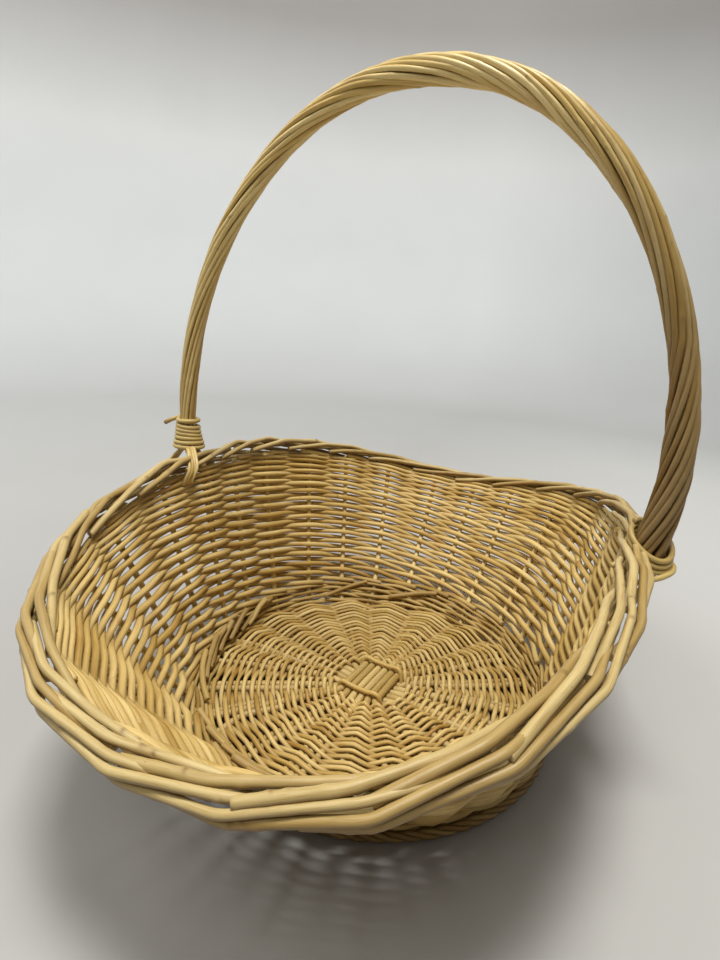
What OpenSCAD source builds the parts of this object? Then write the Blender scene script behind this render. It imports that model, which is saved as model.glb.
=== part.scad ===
// Woven willow market basket with a tall roped handle.
// X runs along the handle's span, Y along the basket's length and +Z is up.
// The origin is the middle of the foot, on the surface that the basket stands on.

/* [Base] */
// Radius of the round woven base
base_r = 118; // [112:1:124]
// Turn of the base's stick cross about the vertical, in degrees
base_turn = -6; // [-12:1:12]
// Thickness of a base stick
stick_d = 5.2; // [4.6:0.1:5.4]
// Thickness of a base weaver
pair_d = 3.4; // [2.8:0.1:3.6]
// Height of the foot rim under the stakes
foot_h = 6.8; // [5.5:0.1:6.8]

/* [Wall] */
// Half width of the wall's top along the handle's span, at the stakes
rim_x = 150; // [142:1:158]
// Half length of the wall's top, at the stakes
rim_y = 217; // [200:1:230]
// Mean height of the wall's top
rim_z = 133; // [120:1:145]
// Rise of the wall's top at the handle's feet, and its dip at the ends
rim_sweep = 18; // [0:1:24]
// Squareness of the oval: 0 is a plain ellipse
fullness = 0.035; // [0:0.005:0.05]
// Outward belly of the wall, as a part of its lean
belly = 0.15; // [0:0.05:0.3]
// Thickness of an upright stake
stake_d = 4.6; // [4:0.1:4.8]
// Thickness of a wall weaver
weaver_d = 4.2; // [3.6:0.1:4.4]

/* [Border] */
// Thickness of a border rod
border_rod_d = 4.7; // [4.4:0.1:5.3]
// Radius of the roll that the border rods' centres follow
roll_r = 9.6; // [9.4:0.1:10.5]

/* [Handle] */
// Height of the handle's centre line above its feet
handle_rise = 252; // [220:1:280]
// Distance of each handle foot from the middle
handle_reach = 163; // [160:1:168]
// Thickness of the bow inside the roping, at the right foot
bow_d = 11; // [10.8:0.1:11.6]
// Thickness of a roping rod, at the right foot
rope_d = 3.8; // [3.4:0.1:3.8]
// Thickness of the handle at its left foot, as a part of its thickness at the right foot
handle_taper = 0.74; // [0.66:0.02:1]
// Lean of the handle towards its right side, at its top
handle_lean = 3.4; // [0:0.2:5]
// Turns of the roping from foot to foot
rope_turns = 2.5; // [2:0.5:3]
// Thickness of a lashing strand
lash_d = 3.2; // [2.4:0.1:3.4]

/* [Hidden] */
$fn = 48;

// Base: a cross of two layers of sticks.
// Each arm of the cross opens into five ribs, and its middle two sticks stay together as one rib.
sticks_per_layer = 6;
rib_step = 18;
ribs_per_arm = 5;
stick_ribs = [-2, -1, 0, 0, 1, 2];
stick_sides = [0, 0, -1, 1, 0, 0];
stick_gap = 0.2;
base_z = 9.5;
cross_half = 17;
opened_r = 26;
tie_r = 17.5;
tie_clear = 0.1;
round_count = 18;
round_first_r = 28.6;
round_step = (base_r - 1 - round_first_r) / (round_count - 1);
round_z = (stick_d + pair_d) / 2;
foot_in = base_r + 1.5;
foot_out = base_r + 12;

// Wall: stakes between two skins of weaving.
stake_count = 26;
stake_step = 360 / stake_count;
stake_first = 2.2;
stake_in_r = 92;
stake_top_v = 0.98;
stake_clear = 3.1;
stake_pair_clear = 4.9;
end_crowding = 5.4;
wall_foot_r = base_r + 5;
wall_foot_z = base_z + 4;
skin_off = (stake_d + weaver_d) / 2 + 0.1;
// Stakes on the right, at the back, on the left and at the front.
quarter_starts = [-3, 4, 10, 17, 23];

// Border: each rod's place along the rim is in stake spacings from its own stake.
roll_out = 1;
roll_up = 3;
under_start = -1.5;
under_start_turn = -44;
kink_turn = 4;
turn_rate = 46;
under_end = 1.9;
tuck_r = 4.3;
over_start = 0.1;
over_start_turn = 44;
over_end = 2.5;
over_rate = 48.6;
over_tuck_from = 2.1;
over_tuck_r = 5;

// Handle: a flattened arch.
arch_power = 2 / 2.16;
arch_swell = 0.037;
arch_foot_z = rim_z + rim_sweep;
foot_tuck = 5;
foot_tuck_part = 0.25;
rope_end = 3;
rope_r = (bow_d + rope_d) / 2;
rope_count = 12;
rope_steps = 36;
bow_tail_d = 4.2;
bow_tail_v = 0.4;
// Heights of the lashing rings above the handle's foot, and their slopes along X and Y.
left_lash_heights = [16.4, 19.8, 23.2, 26.6, 30, 33.4, 36.8];
left_lash_slopes = [0, 0];
right_lash_heights = [5, 9.2, 13.4];
right_lash_slopes = [-0.45, 0.5];

osier = [0.85, 0.74, 0.5];
pale_osier = [0.9, 0.8, 0.58];
dark_osier = [0.76, 0.62, 0.38];
stake_osier = [0.8, 0.68, 0.44];

tube_sides = 6;
skin_steps = 60;
ring_step = 15;

function unit(v) = v / norm(v);
function total_to(list, n) = n == 0 ? 0 : list[n - 1] + total_to(list, n - 1);

// A tube along a path: [points, faces]. The side vector is never along the path.
function path_dir(p, i) = unit(p[min(i + 1, len(p) - 1)] - p[max(i - 1, 0)]);
function tube(path, radii, side, sides = tube_sides) =
    let (n = len(path))
    [
        [for (i = [0 : n - 1])
            let (t = path_dir(path, i), u = unit(cross(t, side)), w = cross(t, u))
            for (j = [0 : sides - 1])
                path[i] + radii[i] * (cos(360 * j / sides) * u + sin(360 * j / sides) * w)],
        concat(
            [[for (j = [0 : sides - 1]) j]],
            [for (i = [0 : n - 2], j = [0 : sides - 1])
                let (a = i * sides + j, b = i * sides + (j + 1) % sides)
                each [[a, a + sides, b], [b, a + sides, b + sides]]],
            [[for (j = [sides - 1 : -1 : 0]) (n - 1) * sides + j]]
        )
    ];

// A closed loop of tube: [points, faces].
function loop_tube(path, r, sides = tube_sides) =
    let (n = len(path))
    [
        [for (i = [0 : n - 1])
            let (
                t = unit(path[(i + 1) % n] - path[(i + n - 1) % n]),
                u = unit(cross(t, [0, 0, 1])),
                w = cross(t, u)
            )
            for (j = [0 : sides - 1])
                path[i] + r * (cos(360 * j / sides) * u + sin(360 * j / sides) * w)],
        [for (i = [0 : n - 1], j = [0 : sides - 1])
            let (
                a = i * sides + j,
                b = i * sides + (j + 1) % sides,
                c = ((i + 1) % n) * sides + j,
                d = ((i + 1) % n) * sides + (j + 1) % sides
            )
            each [[a, c, b], [b, c, d]]]
    ];

// Draws a list of closed shells as separate solids.
module shells(list) {
    sizes = [for (s = list) len(s[0])];
    polyhedron(
        points = [for (s = list) each s[0]],
        faces = [for (k = [0 : len(list) - 1])
            let (shift = total_to(sizes, k))
            for (f = list[k][1]) [for (v = f) v + shift]],
        convexity = 10
    );
}

// The wall. u goes round in degrees, v goes up from 0 to 1.
function crowded(u) = u - end_crowding * sin(2 * u);
function rim_point(u) =
    let (t = crowded(u), f = (1 - fullness * cos(4 * t)) / (1 - fullness))
    [rim_x * f * cos(t), rim_y * f * sin(t), rim_z + rim_sweep * cos(2 * t)];
function wall_mid(u, v) =
    let (
        low = [wall_foot_r * cos(u), wall_foot_r * sin(u), wall_foot_z],
        top = rim_point(u),
        lean = v + belly * v * (1 - v)
    )
    [low.x + (top.x - low.x) * lean, low.y + (top.y - low.y) * lean, low.z + (top.z - low.z) * v];
function wall_out(u, v) =
    unit(cross(wall_mid(u + 1, v) - wall_mid(u - 1, v), wall_mid(u, v + 0.02) - wall_mid(u, v - 0.02)));
function wall_at(u, v, off) = wall_mid(u, v) + off * wall_out(u, v);
function rim_dir(u) = unit(rim_point(u + 1) - rim_point(u - 1));
function rim_out(u) = unit(cross(rim_dir(u), [0, 0, 1]));
function roll_at(u, turn, r) =
    rim_point(u) + (roll_out + r * cos(turn)) * rim_out(u) + [0, 0, roll_up + r * sin(turn)];

// One skin of weaving between two heights: [points, faces].
function skin(v0, v1, off) =
    let (n = skin_steps, hs = [v0, (v0 + v1) / 2, v1], m = len(hs))
    [
        [for (side = [-0.5, 0.5], v = hs, i = [0 : n - 1])
            wall_at(360 * i / n, v, off + side * weaver_d)],
        concat(
            [for (side = [0, 1], k = [0 : m - 2], i = [0 : n - 1])
                let (
                    a = (side * m + k) * n + i,
                    b = (side * m + k) * n + (i + 1) % n
                )
                each side == 0
                    ? [[a, b, a + n], [b, b + n, a + n]]
                    : [[a, a + n, b], [b, a + n, b + n]]],
            [for (k = [0, m - 1], i = [0 : n - 1])
                let (
                    a = k * n + i,
                    b = k * n + (i + 1) % n,
                    c = a + m * n,
                    d = b + m * n
                )
                each k == 0
                    ? [[a, c, b], [b, c, d]]
                    : [[a, b, c], [b, d, c]]]
        )
    ];

module weave_band(v0, v1) {
    shells([skin(v0, v1, -skin_off), skin(v0, v1, skin_off)]);
}

// Base sticks. Layer -1 lies below and along X, layer 1 above and along Y.
function rib_angle(layer, j, end) =
    base_turn + (layer > 0 ? 90 : 0) + (end > 0 ? 0 : 180)
    + end * stick_ribs[j] * rib_step;
function stick_half(layer, j, end) =
    let (
        a = rib_angle(layer, j, end),
        along = base_turn + (layer > 0 ? 90 : 0),
        off = (j - (sticks_per_layer - 1) / 2) * (stick_d + stick_gap),
        pair_off = stick_sides[j] * (stick_d + stick_gap) / 2,
        d = [cos(along), sin(along), 0],
        s = [-sin(along), cos(along), 0],
        layer_z = base_z + layer * stick_d / 2
    )
    [
        end * cross_half * d + off * s + [0, 0, layer_z],
        [opened_r * cos(a), opened_r * sin(a), base_z] + pair_off * s,
        [(base_r - 1) * cos(a), (base_r - 1) * sin(a), base_z] + pair_off * s
    ];
function reversed(list) = [for (i = [len(list) - 1 : -1 : 0]) list[i]];
function stick_path(layer, j) =
    concat(reversed(stick_half(layer, j, -1)), stick_half(layer, j, 1));

module base_sticks(layer) {
    shells([for (j = [0 : sticks_per_layer - 1])
        let (p = stick_path(layer, j))
        tube(p, [for (q = p) stick_d / 2], [0, 0, 1], 8)]);
}

module base_sticks_lower() {
    color(dark_osier) base_sticks(-1);
}

module base_sticks_upper() {
    color(stake_osier) base_sticks(1);
}

// The first round: over the upper sticks, under the lower ones.
module base_tie() {
    high = base_z + stick_d + pair_d / 2 + tie_clear;
    low = base_z - stick_d - pair_d / 2 - tie_clear;
    half = (sticks_per_layer * (stick_d + stick_gap) + pair_d) / 2 - 1.4;
    color(pale_osier)
        rotate([0, 0, base_turn])
            shells([loop_tube(
                [for (q = [0 : 3])
                    let (z = q % 2 == 0 ? low : high)
                    for (s = [-0.7, 0.7])
                        [
                            tie_r * cos(90 * q) * 1.05 - s * half * sin(90 * q),
                            tie_r * sin(90 * q) * 1.05 + s * half * cos(90 * q),
                            z
                        ]],
                pair_d / 2)]);
}

// Rounds of paired weavers, one above and one below the sticks.
module pairing(first, last) {
    for (i = [first : last], side = [-1, 1])
        rotate_extrude()
            translate([round_first_r + i * round_step, base_z + side * round_z])
                circle(d = pair_d);
}

module base_pairing_inner() {
    color(osier) pairing(0, 3);
}

module base_pairing_middle() {
    color(pale_osier) pairing(4, 10);
}

module base_pairing_outer() {
    color(osier) pairing(11, round_count - 1);
}

module foot_rim() {
    color(dark_osier)
        rotate_extrude()
            translate([foot_in, 0])
                polygon([
                    [1, 0], [foot_out - foot_in - 1, 0],
                    [foot_out - foot_in, 1.5], [foot_out - foot_in, foot_h - 1.5],
                    [foot_out - foot_in - 1.5, foot_h], [0.5, foot_h], [0, foot_h / 2]
                ]);
}

// A stake starts beside the nearest base rib, then bends up into the wall.
function start_angle(u) =
    let (
        n = round((u - base_turn) / rib_step),
        rib = base_turn + n * rib_step,
        side = u >= rib ? 1 : -1,
        clear = n % ribs_per_arm == 0 ? stake_pair_clear : stake_clear
    )
    rib + side * max(abs(u - rib), clear);
function stake_path(u) =
    let (a = start_angle(u))
    concat(
        [
            [stake_in_r * cos(a), stake_in_r * sin(a), base_z],
            [(base_r - 3) * cos(a), (base_r - 3) * sin(a), base_z],
            [(base_r + 3) * cos((a + u) / 2), (base_r + 3) * sin((a + u) / 2), base_z + 0.6]
        ],
        [for (v = [0.06, 0.25, 0.5, 0.75, stake_top_v]) wall_mid(u, v)]
    );

module stakes(quarter) {
    shells([for (k = [quarter_starts[quarter] : quarter_starts[quarter + 1] - 1])
        let (u = stake_first + k * stake_step, p = stake_path(u))
        tube(p, [for (q = p) stake_d / 2], [-sin(u), cos(u), 0])]);
}

module stakes_right() {
    color(stake_osier) stakes(0);
}

module stakes_back() {
    color(stake_osier) stakes(1);
}

module stakes_left() {
    color(stake_osier) stakes(2);
}

module stakes_front() {
    color(stake_osier) stakes(3);
}

module upsett_wale() {
    color(dark_osier) weave_band(0.04, 0.12);
}

module randing_lower() {
    color(osier) weave_band(0.13, 0.4);
}

module randing_middle() {
    color(pale_osier) weave_band(0.41, 0.67);
}

module randing_upper() {
    color(osier) weave_band(0.68, 0.94);
}

// Under rods come up round the outside, kink at a stake and tuck in below the over rods.
function under_point(u, s) =
    let (
        tucked = max(0, min(1, (s - 0.55) / 0.5)),
        turn = s < 0
            ? kink_turn + (kink_turn - under_start_turn) * s / -under_start
            : kink_turn + turn_rate * s
    )
    roll_at(u + s * stake_step, turn, roll_r + (tuck_r - roll_r) * tucked);
// Over rods start on the outside, cross the top of the roll and end tucked in on its inside.
function over_point(u, s) =
    let (tucked = max(0, (s - over_tuck_from) / (over_end - over_tuck_from)))
    roll_at(
        u + s * stake_step,
        over_start_turn + over_rate * (s - over_start),
        roll_r + (over_tuck_r - roll_r) * tucked
    );

module border_rods(quarter, over) {
    places = over
        ? [for (i = [0 : 6]) over_start + (over_end - over_start) * i / 6]
        : [under_start, -0.8, -0.3, 0, 0.3, 0.6, 0.85, 1.1, 1.5, under_end];
    shells([for (k = [quarter_starts[quarter] : quarter_starts[quarter + 1] - 1])
        let (
            u = stake_first + k * stake_step,
            p = [for (s = places) over ? over_point(u, s) : under_point(u, s)]
        )
        tube(p, [for (q = p) border_rod_d / 2], [0, 0, 1])]);
}

module border_under_right() {
    color(osier) border_rods(0, false);
}

module border_under_back() {
    color(osier) border_rods(1, false);
}

module border_under_left() {
    color(osier) border_rods(2, false);
}

module border_under_front() {
    color(osier) border_rods(3, false);
}

module border_over_right() {
    color(pale_osier) border_rods(0, true);
}

module border_over_back() {
    color(pale_osier) border_rods(1, true);
}

module border_over_left() {
    color(pale_osier) border_rods(2, true);
}

module border_over_front() {
    color(pale_osier) border_rods(3, true);
}

// Handle centre line, from the right foot at 0 to the left foot at 180 degrees.
// The right foot bends in over the border.
function arch(t) =
    let (
        h = pow(sin(t), arch_power),
        c = cos(t),
        tuck = c > 0 ? foot_tuck * pow(max(0, 1 - h / foot_tuck_part), 2) : 0,
        span = handle_reach * sign(c) * pow(abs(c), arch_power) * (1 + arch_swell * sin(180 * h))
    )
    [
        span + handle_lean * sin(t) - tuck,
        0,
        arch_foot_z + handle_rise * h
    ];
function arch_dir(t) = unit(arch(t + 0.5) - arch(t - 0.5));
// The handle thins from its right foot to its left foot.
function thinned(t) = 1 - (1 - handle_taper) * t / 180;
rope_places = [for (k = [0 : rope_steps]) rope_end + (180 - 2 * rope_end) * k / rope_steps];
function rope_path(i) =
    [for (t = rope_places)
        let (
            n = cross([0, 1, 0], arch_dir(t)),
            a = 360 * (rope_turns * t / 180 + i / rope_count)
        )
        arch(t) + rope_r * thinned(t) * (cos(a) * n + sin(a) * [0, 1, 0])];

// The bow's thinned ends go down between the two skins of the wall.
module handle_bow() {
    places = [for (t = [rope_end : 6 : 180 - rope_end]) t];
    arch_part = [for (t = places) arch(t)];
    tail = [
        wall_mid(0, bow_tail_v), wall_mid(0, 0.7), wall_mid(0, 0.97),
        (wall_mid(0, 1) + arch_part[0]) / 2
    ];
    other_tail = [
        (wall_mid(180, 1) + arch_part[len(places) - 1]) / 2,
        wall_mid(180, 0.97), wall_mid(180, 0.7), wall_mid(180, bow_tail_v)
    ];
    path = concat(tail, arch_part, other_tail);
    last = len(places) - 1;
    tail_radii = [for (q = tail) bow_tail_d / 2];
    arch_radii = [for (i = [0 : last])
        i == 0 || i == last
            ? (bow_tail_d + bow_d * thinned(places[i])) / 4
            : bow_d * thinned(places[i]) / 2];
    radii = concat(tail_radii, arch_radii, tail_radii);
    color(dark_osier) shells([tube(path, radii, [0, 1, 0], 10)]);
}

module roping_rod(i) {
    p = rope_path(i);
    color(i % 2 == 0 ? pale_osier : osier)
        shells([tube(p, [for (t = rope_places) rope_d * thinned(t) / 2 - 0.1], [0, 1, 0])]);
}

// Rings of strand around one leg of the handle.
module lashing(side, heights, slopes) {
    leg_d = (bow_d + 2 * rope_d) * thinned(side > 0 ? 0 : 180);
    ring_r = (leg_d + lash_d) / 2 + 0.3;
    shells([for (height = heights)
        let (
            t = asin(pow(height / handle_rise, 1 / arch_power)),
            middle = arch(side > 0 ? t : 180 - t)
        )
        loop_tube(
            [for (a = [0 : ring_step : 360 - ring_step])
                let (x = ring_r * cos(a), y = ring_r * sin(a))
                middle + [x, y, x * slopes.x + y * slopes.y]],
            lash_d / 2, 8)]);
}

module lashing_left() {
    color(dark_osier) lashing(-1, left_lash_heights, left_lash_slopes);
}

module lashing_right() {
    color(osier) lashing(1, right_lash_heights, right_lash_slopes);
}

foot_rim();
base_sticks_lower();
base_sticks_upper();
base_tie();
base_pairing_inner();
base_pairing_middle();
base_pairing_outer();
stakes_right();
stakes_back();
stakes_left();
stakes_front();
upsett_wale();
randing_lower();
randing_middle();
randing_upper();
border_under_right();
border_under_back();
border_under_left();
border_under_front();
border_over_right();
border_over_back();
border_over_left();
border_over_front();
handle_bow();
roping_rod(0);  // roping_1
roping_rod(1);  // roping_2
roping_rod(2);  // roping_3
roping_rod(3);  // roping_4
roping_rod(4);  // roping_5
roping_rod(5);  // roping_6
roping_rod(6);  // roping_7
roping_rod(7);  // roping_8
roping_rod(8);  // roping_9
roping_rod(9);  // roping_10
roping_rod(10);  // roping_11
roping_rod(11);  // roping_12
lashing_left();
lashing_right();
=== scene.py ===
"""Woven willow market basket: stick-cross base, randed wall, rolled border and roped handle.

The basket's lengths are in millimetres until a mesh is built. Angles round it are in degrees.
"""

import math

import bpy
import numpy as np
from mathutils import Matrix, Vector


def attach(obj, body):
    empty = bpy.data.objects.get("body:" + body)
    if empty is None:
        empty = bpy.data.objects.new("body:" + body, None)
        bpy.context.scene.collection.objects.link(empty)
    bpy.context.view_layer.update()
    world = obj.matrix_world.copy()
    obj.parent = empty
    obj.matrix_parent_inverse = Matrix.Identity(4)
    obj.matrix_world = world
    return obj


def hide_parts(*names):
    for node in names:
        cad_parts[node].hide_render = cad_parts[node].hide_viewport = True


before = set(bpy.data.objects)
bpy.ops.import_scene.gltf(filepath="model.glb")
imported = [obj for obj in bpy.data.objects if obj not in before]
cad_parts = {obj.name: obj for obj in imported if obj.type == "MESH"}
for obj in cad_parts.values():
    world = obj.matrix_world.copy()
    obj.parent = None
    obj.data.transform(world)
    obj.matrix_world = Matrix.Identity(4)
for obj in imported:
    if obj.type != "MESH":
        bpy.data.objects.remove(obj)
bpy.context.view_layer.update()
rng = np.random.default_rng(41)
MM = 0.001

# The same driving sizes as the CAD model.
BASE_R = 118.0
BASE_TURN = -6.0
BASE_Z = 9.5
STICK_R = 2.6
RIBS = 20
RIB_STEP = 360 / RIBS
RIBS_PER_ARM = 5
STICK_RIBS, STICK_SIDES = (-2, -1, 0, 0, 1, 2), (0, 0, -1, 1, 0, 0)
STICK_PITCH, STICK_PITCH_OPEN = 5.4, 5.6
ROUNDS = 18
ROUND_FIRST = 28.6
ROUND_STEP = (BASE_R - 1 - ROUND_FIRST) / (ROUNDS - 1)
RIM_X, RIM_Y, RIM_Z, RIM_SWEEP = 150.0, 217.0, 133.0, 18.0
FULLNESS, BELLY, END_CROWDING = 0.035, 0.15, 5.4
FOOT_R, FOOT_Z = BASE_R + 5, BASE_Z + 4
STAKES = 26
STEP = 360 / STAKES
STAKE_FIRST = 2.2
QUARTERS = {"right": range(-3, 4), "back": range(4, 10), "left": range(10, 17), "front": range(17, 23)}
ROLL_OUT, ROLL_UP = 1.0, 3.0
ARCH_RISE, ARCH_REACH, ARCH_FOOT = 252.0, 163.0, RIM_Z + RIM_SWEEP
ARCH_POWER, ARCH_SWELL = 2 / 2.16, 0.037
HANDLE_LEAN, FOOT_TUCK, FOOT_TUCK_PART = 3.4, 5.0, 0.25
ROPE_RODS = 12

# Radii of the willow rods. Stakes and border rods have one at the butt and one at the tip.
STAKE_RS, UNDER_RS, OVER_RS = (2.3, 1.95), (2.3, 1.95), (2.4, 1.9)
RANDING_R, RANDING_THINS_BY = 2.28, 0.7
PAIR_R, TIE_R, FOOT_ROD_R, WALE_R, STRAND_R = 1.62, 1.65, 1.5, 1.5, 1.6

# A height v on the wall is a part of the wall's whole height. WARP_HEIGHT is how far its rows stray.
WALL_HEIGHT = 140
WARP_HEIGHT = 0.0045


# ---------------------------------------------------------------- shapes
def unit(v):
    return v / np.maximum(np.linalg.norm(v, axis=-1, keepdims=True), 1e-9)


def rim_point(u):
    """A point on the wall's top at angle u."""
    t = np.radians(u - END_CROWDING * np.sin(np.radians(2 * u)))
    f = (1 - FULLNESS * np.cos(4 * t)) / (1 - FULLNESS)
    return np.stack([RIM_X * f * np.cos(t), RIM_Y * f * np.sin(t), RIM_Z + RIM_SWEEP * np.cos(2 * t)], -1)


def wall_mid(u, v):
    """A point in the middle of the wall: v is 0 at its foot and 1 at its top."""
    u, v = np.broadcast_arrays(np.asarray(u, float), np.asarray(v, float))
    a = np.radians(u)
    low = np.stack([FOOT_R * np.cos(a), FOOT_R * np.sin(a), np.full_like(a, FOOT_Z)], -1)
    lean = v + BELLY * v * (1 - v)
    return low + (rim_point(u) - low) * np.stack([lean, lean, v], -1)


def wall_out(u, v):
    """The wall's outward normal."""
    u, v = np.broadcast_arrays(np.asarray(u, float), np.asarray(v, float))
    along = wall_mid(u + 1, v) - wall_mid(u - 1, v)
    rising = wall_mid(u, v + 0.02) - wall_mid(u, v - 0.02)
    return unit(np.cross(along, rising))


def wall_at(u, v, off):
    """A point at the distance off outside the middle of the wall."""
    return wall_mid(u, v) + np.asarray(off)[..., None] * wall_out(u, v)


def roll_at(u, turn, r):
    """A point of the border's roll: turn is 0 outside and 90 on top."""
    u, turn, r = np.broadcast_arrays(np.asarray(u, float), np.radians(turn), np.asarray(r, float))
    along = unit(rim_point(u + 1) - rim_point(u - 1))
    out = unit(np.cross(along, [0.0, 0.0, 1.0]))
    up = np.stack([0 * turn, 0 * turn, ROLL_UP + r * np.sin(turn)], -1)
    return rim_point(u) + (ROLL_OUT + r * np.cos(turn))[..., None] * out + up


def arch(t):
    """The handle's centre line, from its right foot at 0 to its left foot at 180."""
    t = np.radians(t)
    h = np.clip(np.sin(t), 0, 1) ** ARCH_POWER
    c = np.cos(t)
    x = ARCH_REACH * np.sign(c) * np.abs(c) ** ARCH_POWER * (1 + ARCH_SWELL * np.sin(np.pi * h))
    tuck = np.where(c > 0, FOOT_TUCK * np.clip(1 - h / FOOT_TUCK_PART, 0, 1) ** 2, 0)
    x = x + HANDLE_LEAN * np.sin(t) - tuck
    return np.stack([x, 0 * t, ARCH_FOOT + ARCH_RISE * h], -1)


# Stakes stand a little unevenly; c counts stakes round the basket.
stake_jitter = rng.normal(0, 0.75, STAKES)
stake_lean = rng.normal(0, 0.9, STAKES)
warp_phase = rng.uniform(0, 2 * np.pi, 6)


def around(c, v):
    """Angle at height v of the place c, with the stakes' unevenness blended between them."""
    c = np.asarray(c, float)
    low = np.floor(c).astype(int)
    k = c - low
    k = k * k * (3 - 2 * k)
    this, following = low % STAKES, (low + 1) % STAKES
    a = stake_jitter[this] + stake_lean[this] * v
    b = stake_jitter[following] + stake_lean[following] * v
    return STAKE_FIRST + STEP * c + a * (1 - k) + b * k


# Ribs of the base open a little unevenly too; c counts ribs.
rib_jitter = rng.normal(0, 1.7, RIBS)


def rib_at(c):
    """Angle of the place c of the base."""
    c = np.asarray(c, float)
    low = np.floor(c).astype(int)
    a, b = rib_jitter[low % RIBS], rib_jitter[(low + 1) % RIBS]
    return BASE_TURN + RIB_STEP * c + a + (b - a) * (c - low)


def warp(u, v):
    """Slow waves of the rows up and down, the same for every strand."""
    a = np.radians(u)
    p = warp_phase
    return WARP_HEIGHT * (
        np.sin(3 * a + 4 * v + p[0]) + np.sin(5 * a - 7 * v + p[1]) + 0.7 * np.sin(9 * a + 9 * v + p[2])
    )


def slow_noise(s, seed, length):
    """Smooth random curve along s with about one swing per length."""
    local = np.random.default_rng(seed)
    total = np.zeros_like(s)
    for octave, gain in ((1, 1.0), (2.3, 0.5)):
        total += gain * np.sin(2 * np.pi * s * octave / length + local.uniform(0, 6.28))
    return total / 1.5


def length_along(path):
    """Length of a path up to each of its points."""
    return np.concatenate([[0], np.cumsum(np.linalg.norm(np.diff(path, axis=0), axis=1))])


def smooth_path(points, step):
    """Catmull-Rom curve through points, cut into steps of about the given length."""
    p = np.asarray(points, float)
    p = np.vstack([2 * p[0] - p[1], p, 2 * p[-1] - p[-2]])
    out = []
    for i in range(1, len(p) - 2):
        n = max(2, int(np.linalg.norm(p[i + 1] - p[i]) / step))
        t = np.arange(n)[:, None] / n
        m0, m1 = (p[i + 1] - p[i - 1]) / 2, (p[i + 2] - p[i]) / 2
        out.append(
            (2 * t**3 - 3 * t**2 + 1) * p[i] + (t**3 - 2 * t**2 + t) * m0
            + (-2 * t**3 + 3 * t**2) * p[i + 1] + (t**3 - t**2) * m1
        )
    out.append(p[-2][None])
    return np.vstack(out)


def bent_path(points, step, bend):
    """Straight runs joined by short bends of the given length."""
    p = np.asarray(points, float)
    out = [p[0]]
    for i in range(1, len(p) - 1):
        before, after = p[i - 1] - p[i], p[i + 1] - p[i]
        b = min(bend, 0.4 * np.linalg.norm(before), 0.4 * np.linalg.norm(after))
        start, end = p[i] + unit(before) * b, p[i] + unit(after) * b
        for t in (0, 0.25, 0.5, 0.75, 1):
            out.append((1 - t) ** 2 * start + 2 * t * (1 - t) * p[i] + t**2 * end)
    out.append(p[-1])
    out = np.array(out)
    length = length_along(out)
    keep = np.concatenate([[True], np.diff(length) > 1e-6])
    out, length = out[keep], length[keep]
    fine = np.unique(np.concatenate([np.arange(0, length[-1], step), length]))
    gap = np.concatenate([[True], np.diff(fine) > 0.25 * step])
    fine = fine[gap]
    return np.stack([np.interp(fine, length, out[:, k]) for k in range(3)], -1)


# ---------------------------------------------------------------- rods
def frames_along(path):
    """Tangents of a path, and two directions across it that don't twist round it."""
    tangent = unit(np.gradient(path, axis=0))
    side = np.empty_like(path)
    start = np.cross(tangent[0], [0.31, 0.2, 0.93])
    if np.linalg.norm(start) < 0.1:
        start = np.cross(tangent[0], [1.0, 0, 0])
    side[0] = start / np.linalg.norm(start)
    for i in range(1, len(path)):
        s = side[i - 1] - np.dot(side[i - 1], tangent[i]) * tangent[i]
        side[i] = s / math.sqrt(s @ s)
    return tangent, side, np.cross(tangent, side)


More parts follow.
